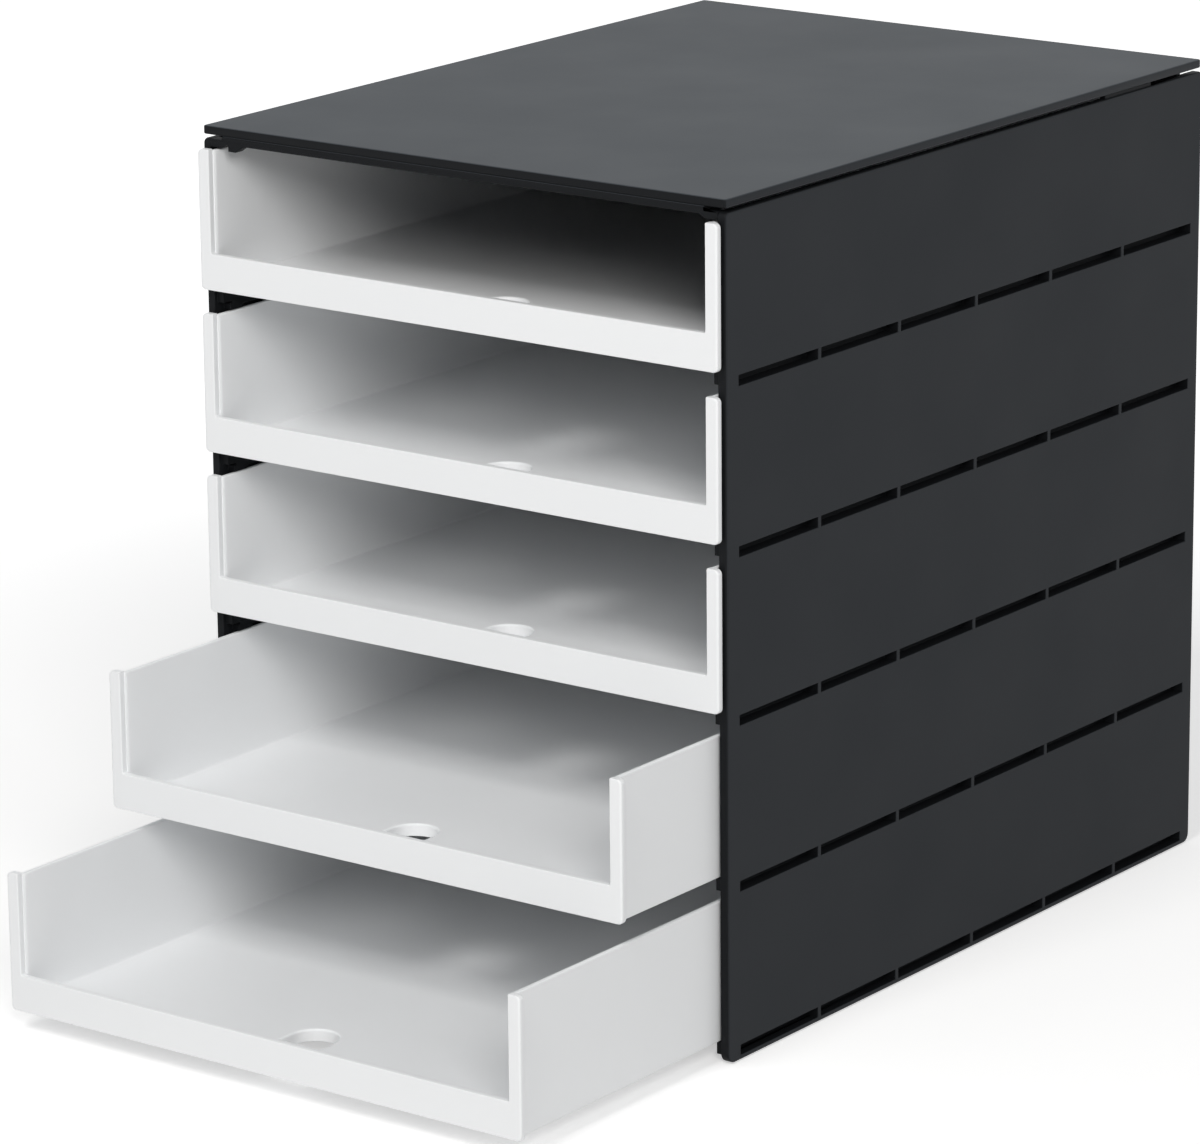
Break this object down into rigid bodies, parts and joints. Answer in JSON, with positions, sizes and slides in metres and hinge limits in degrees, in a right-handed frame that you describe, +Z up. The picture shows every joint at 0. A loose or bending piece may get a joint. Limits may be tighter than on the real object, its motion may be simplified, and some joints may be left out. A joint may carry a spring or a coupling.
{
  "type": "letter tray stack with drawers",
  "caption": "Upright desk casing with a stack of open-front sliding letter drawers for A4 sheets.",
  "frame": {"origin": "on the ground, at the middle of the footprint of the whole part as it rests, open drawers included", "axes": "+Z up, +Y towards the back of the casing, so the drawers open towards -Y, +X to the right of someone facing the drawers"},
  "size_m": [0.246, 0.4564, 0.3306],
  "materials": {
    "casing_plastic": "fine matt grain, dark grey",
    "cover_plastic": "fine matt grain, dark grey",
    "drawer_plastic": "satin white",
    "pad_rubber": "matt black"
  },
  "bodies": {
    "casing": {"left_side_panel": "casing_plastic", "right_side_panel": "casing_plastic", "top_cover": "cover_plastic", "front_cross_rail": "casing_plastic", "rear_panel": "casing_plastic", "base_plate": "casing_plastic", "foot_pad_front_left": "pad_rubber", "foot_pad_front_right": "pad_rubber", "foot_pad_rear_left": "pad_rubber", "foot_pad_rear_right": "pad_rubber"},
    "drawer_1": {"drawer_1": "drawer_plastic"},
    "drawer_2": {"drawer_2": "drawer_plastic"},
    "drawer_3": {"drawer_3": "drawer_plastic"},
    "drawer_4": {"drawer_4": "drawer_plastic"},
    "drawer_5": {"drawer_5": "drawer_plastic"}
  },
  "joints": [
    {"name": "drawer_1_slide", "type": "slide", "parent": "casing", "child": "drawer_1", "axis": [0, -1, 0], "range_m": [0, 0.2725]},
    {"name": "drawer_2_slide", "type": "slide", "parent": "casing", "child": "drawer_2", "axis": [0, -1, 0], "range_m": [0, 0.2725]},
    {"name": "drawer_3_slide", "type": "slide", "parent": "casing", "child": "drawer_3", "axis": [0, -1, 0], "range_m": [0, 0.2725]},
    {"name": "drawer_4_slide", "type": "slide", "parent": "casing", "child": "drawer_4", "axis": [0, -1, 0], "range_m": [-0.0605, 0.212]},
    {"name": "drawer_5_slide", "type": "slide", "parent": "casing", "child": "drawer_5", "axis": [0, -1, 0], "range_m": [-0.122, 0.1505]}
  ]
}
